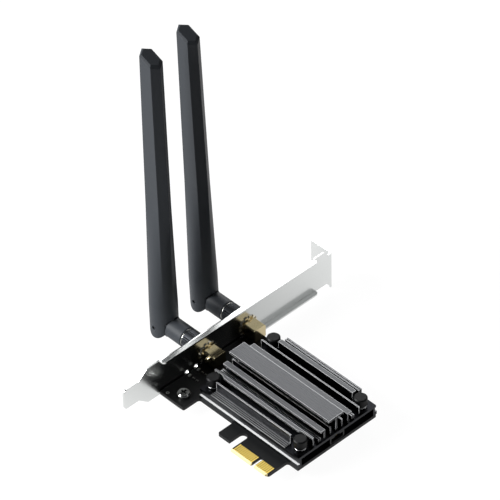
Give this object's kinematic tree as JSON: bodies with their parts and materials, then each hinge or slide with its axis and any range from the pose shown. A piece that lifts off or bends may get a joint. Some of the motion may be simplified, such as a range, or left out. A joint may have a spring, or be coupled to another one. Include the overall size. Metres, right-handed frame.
{
  "type": "wireless network card",
  "caption": "Short computer expansion card with a black finned heat sink, a tall metal bracket, gold edge contacts and upright blade antennas that swivel and tilt.",
  "frame": {"origin": "on the centre line of the key notch, at the contact edge of the tongue, midway through the board's thickness", "axes": "+X along the board from the bracket to the free end, +Y up the card away from the slot, +Z out of the component side, where the antennas point"},
  "size_m": [0.1067, 0.1201, 0.1529],
  "materials": {
    "solder_mask": "matt black solder mask on glass laminate",
    "gold_plate": "gold plate",
    "nickel_steel": "bright nickel plate",
    "screw_steel": "nickel plated screw",
    "black_anodised": "black anodised extrusion",
    "black_nylon": "black moulded nylon",
    "spring_steel": "bright spring wire",
    "module_laminate": "dark green laminate",
    "shield_steel": "tinned sheet",
    "chip_epoxy": "black moulded epoxy",
    "silicone_pad": "grey silicone",
    "socket_plastic": "black moulded plastic",
    "lamp_resin": "milky resin",
    "ceramic": "tan ceramic",
    "ferrite": "dark ferrite",
    "gold_shell": "pale gold plate",
    "white_insulator": "white fluoropolymer",
    "washer_steel": "pale gold plate",
    "dark_nickel": "knurled, black nickel plate",
    "bright_nickel": "bright nickel plate",
    "antenna_plastic": "satin charcoal moulding",
    "pin_steel": "dark steel pin",
    "radiator_laminate": "laminate strip with copper"
  },
  "bodies": {
    "card": {"board": "solder_mask", "edge_contacts_front": "gold_plate", "edge_contacts_back": "gold_plate", "bracket": "nickel_steel", "bracket_screw": "screw_steel", "heat_sink": "black_anodised", "push_pins": "black_nylon", "push_pin_springs": "spring_steel", "radio_module_board": "module_laminate", "radio_shield_can": "shield_steel", "radio_chip": "chip_epoxy", "thermal_pad": "silicone_pad", "header_socket": "socket_plastic", "header_pins": "gold_plate", "status_lights": "lamp_resin", "chip_resistors": "chip_epoxy", "chip_capacitors": "ceramic", "voltage_regulator": "chip_epoxy", "power_inductor": "ferrite", "clock_crystal": "shield_steel", "connector_shell_near": "gold_shell", "connector_insulator_near": "white_insulator", "connector_centre_pin_near": "gold_plate", "lock_washer_near": "washer_steel", "hex_nut_near": "gold_shell", "connector_shell_far": "gold_shell", "connector_insulator_far": "white_insulator", "connector_centre_pin_far": "gold_plate", "lock_washer_far": "washer_steel", "hex_nut_far": "gold_shell"},
    "coupling_nut_near_body": {"coupling_nut_near": "dark_nickel"},
    "elbow_near_body": {"antenna_elbow_near": "antenna_plastic", "antenna_ferrule_near": "bright_nickel", "plug_insulator_near": "white_insulator", "plug_socket_near": "gold_plate"},
    "blade_near_body": {"antenna_blade_near": "antenna_plastic", "hinge_pin_near": "pin_steel", "radiator_near": "radiator_laminate"},
    "coupling_nut_far_body": {"coupling_nut_far": "dark_nickel"},
    "elbow_far_body": {"antenna_elbow_far": "antenna_plastic", "antenna_ferrule_far": "bright_nickel", "plug_insulator_far": "white_insulator", "plug_socket_far": "gold_plate"},
    "blade_far_body": {"antenna_blade_far": "antenna_plastic", "hinge_pin_far": "pin_steel", "radiator_far": "radiator_laminate"}
  },
  "joints": [
    {"name": "coupling_nut_near_spin", "type": "hinge", "parent": "card", "child": "coupling_nut_near_body", "pos_m": [-0.066, 0.0306, 0.00449], "axis": [1, 0, 0], "continuous": true},
    {"name": "antenna_near_swivel", "type": "hinge", "parent": "card", "child": "elbow_near_body", "pos_m": [-0.0752, 0.0306, 0.00449], "axis": [1, 0, 0], "range_deg": [0, 180]},
    {"name": "antenna_near_tilt", "type": "hinge", "parent": "elbow_near_body", "child": "blade_near_body", "pos_m": [-0.0852, 0.0306, 0.00449], "axis": [0, -1, -0.0052], "range_deg": [0, 90]},
    {"name": "coupling_nut_far_spin", "type": "hinge", "parent": "card", "child": "coupling_nut_far_body", "pos_m": [-0.066, 0.0537, 0.00449], "axis": [1, 0, 0], "continuous": true},
    {"name": "antenna_far_swivel", "type": "hinge", "parent": "card", "child": "elbow_far_body", "pos_m": [-0.0752, 0.0537, 0.00449], "axis": [-1, 0, 0], "range_deg": [0, 180]},
    {"name": "antenna_far_tilt", "type": "hinge", "parent": "elbow_far_body", "child": "blade_far_body", "pos_m": [-0.0852, 0.0537, 0.00449], "axis": [0, -0.9998, -0.0209], "range_deg": [-0.4, 89.6]}
  ]
}
